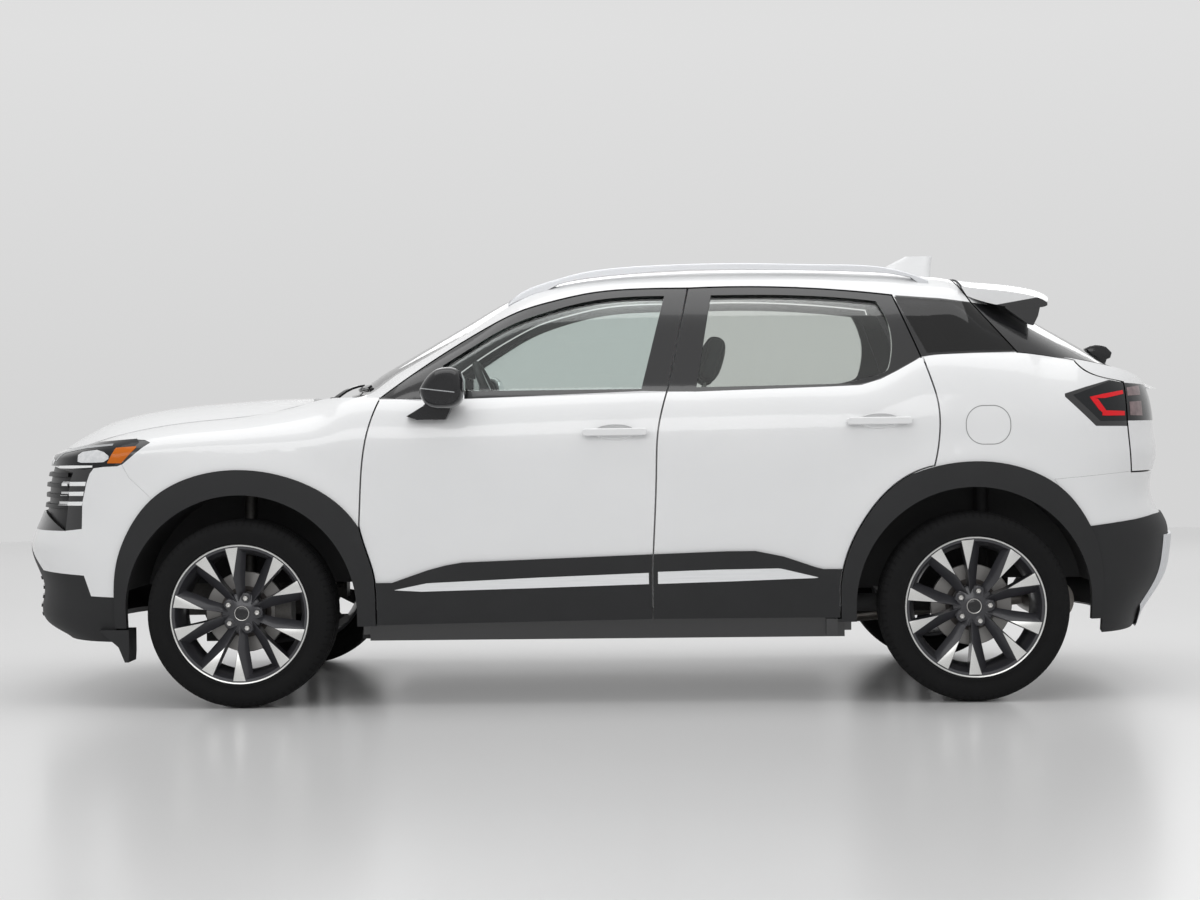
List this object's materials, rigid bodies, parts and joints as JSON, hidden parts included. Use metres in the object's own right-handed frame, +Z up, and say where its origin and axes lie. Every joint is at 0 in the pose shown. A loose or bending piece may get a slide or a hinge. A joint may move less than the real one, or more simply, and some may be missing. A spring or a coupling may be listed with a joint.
{
  "type": "crossover suv",
  "caption": "Compact crossover with hinged doors, hood and tailgate, steered front wheels and a hollow cabin.",
  "frame": {"origin": "on the ground, under the middle of the car's length and width", "axes": "+X towards the front, +Y towards the car's left side, +Z up"},
  "size_m": [4.3863, 2.084, 1.6628],
  "materials": {
    "paint": "gloss white",
    "cladding": "grained dark grey",
    "gloss_black": "gloss black",
    "glass": "lightly tinted",
    "dark_glass": "dark tinted",
    "lamp": "clear lens",
    "red_lamp": "red lens",
    "tyre": "tread rubber",
    "rim": "machined and black",
    "steel": "black steel",
    "cast": "cast",
    "rail": "satin",
    "seat": "woven",
    "cabin": "soft grain",
    "exhaust": "bare steel"
  },
  "bodies": {
    "body": {"arch_claddings": "cladding", "cowl": "cladding", "dashboard": "cabin", "engine": "cast", "exhaust": "exhaust", "fenders": "paint", "floor_pan": "steel", "front_bumper": "paint", "front_grille": "gloss_black", "front_seats": "seat", "front_subframe": "steel", "headlamps": "lamp", "lower_front_bumper": "cladding", "lower_rear_bumper": "cladding", "quarter_windows": "dark_glass", "rear_axle_beam": "steel", "rear_bench": "seat", "rear_blade": "rail", "rear_bumper": "paint", "roof_panel": "paint", "roof_rails": "rail", "side_frame_left": "paint", "side_frame_right": "paint", "tail_lamps": "red_lamp", "windscreen": "glass"},
    "hood": {"hood": "paint"},
    "tailgate": {"tailgate": "paint", "tailgate_glass": "glass", "tailgate_lamps": "red_lamp", "rear_wiper": "gloss_black"},
    "steering_wheel": {"steering_wheel": "cabin"},
    "front_door_left": {"front_door_left": "paint", "front_door_glass_left": "glass", "front_door_cladding_left": "cladding", "mirror_left": "gloss_black"},
    "rear_door_left": {"rear_door_left": "paint", "rear_door_glass_left": "glass", "rear_door_cladding_left": "cladding"},
    "knuckle_left": {"knuckle_left": "cast"},
    "wheel_front_left": {"tyre_front_left": "tyre", "rim_front_left": "rim"},
    "wheel_rear_left": {"tyre_rear_left": "tyre", "rim_rear_left": "rim"},
    "front_door_right": {"front_door_right": "paint", "front_door_glass_right": "glass", "front_door_cladding_right": "cladding", "mirror_right": "gloss_black"},
    "rear_door_right": {"rear_door_right": "paint", "rear_door_glass_right": "glass", "rear_door_cladding_right": "cladding"},
    "knuckle_right": {"knuckle_right": "cast"},
    "wheel_front_right": {"tyre_front_right": "tyre", "rim_front_right": "rim"},
    "wheel_rear_right": {"tyre_rear_right": "tyre", "rim_rear_right": "rim"}
  },
  "joints": [
    {"name": "hood_hinge", "type": "hinge", "parent": "body", "child": "hood", "pos_m": [1.0325, 0, 1.134], "axis": [0, 1, 0], "range_deg": [-52, 0]},
    {"name": "tailgate_hinge", "type": "hinge", "parent": "body", "child": "tailgate", "pos_m": [-1.34747, 0, 1.572], "axis": [0, 1, 0], "range_deg": [0, 82]},
    {"name": "front_door_left_hinge", "type": "hinge", "parent": "body", "child": "front_door_left", "pos_m": [0.84009, 0.913, 0.7], "axis": [0, 0, 1], "range_deg": [-68, 0]},
    {"name": "rear_door_left_hinge", "type": "hinge", "parent": "body", "child": "rear_door_left", "pos_m": [-0.22098, 0.905, 0.7], "axis": [0, 0, 1], "range_deg": [-74, 0]},
    {"name": "steer_left", "type": "hinge", "parent": "body", "child": "knuckle_left", "pos_m": [1.276, 0.68, 0.3425], "axis": [0, -0.165, 0.9863], "range_deg": [-33, 33]},
    {"name": "wheel_front_left_spin", "type": "hinge", "parent": "knuckle_left", "child": "wheel_front_left", "pos_m": [1.276, 0.782, 0.3425], "axis": [0, 1, 0], "continuous": true},
    {"name": "wheel_rear_left_spin", "type": "hinge", "parent": "body", "child": "wheel_rear_left", "pos_m": [-1.38, 0.782, 0.3425], "axis": [0, 1, 0], "continuous": true},
    {"name": "front_door_right_hinge", "type": "hinge", "parent": "body", "child": "front_door_right", "pos_m": [0.84009, -0.913, 0.7], "axis": [0, 0, 1], "range_deg": [0, 68]},
    {"name": "rear_door_right_hinge", "type": "hinge", "parent": "body", "child": "rear_door_right", "pos_m": [-0.22098, -0.905, 0.7], "axis": [0, 0, 1], "range_deg": [0, 74]},
    {"name": "steer_right", "type": "hinge", "parent": "body", "child": "knuckle_right", "pos_m": [1.276, -0.68, 0.3425], "axis": [0, 0.165, 0.9863], "range_deg": [-33, 33]},
    {"name": "wheel_front_right_spin", "type": "hinge", "parent": "knuckle_right", "child": "wheel_front_right", "pos_m": [1.276, -0.782, 0.3425], "axis": [0, 1, 0], "continuous": true},
    {"name": "wheel_rear_right_spin", "type": "hinge", "parent": "body", "child": "wheel_rear_right", "pos_m": [-1.38, -0.782, 0.3425], "axis": [0, 1, 0], "continuous": true},
    {"name": "steering_wheel_turn", "type": "hinge", "parent": "body", "child": "steering_wheel", "pos_m": [0.3703, 0.37, 1.08498], "axis": [-0.9063, 0, 0.4226], "range_deg": [-500, 500]}
  ],
  "couplings": [
    {"joint": "steer_right", "follows": "steer_left", "ratio": 1},
    {"joint": "steering_wheel_turn", "follows": "steer_left", "ratio": 14}
  ]
}
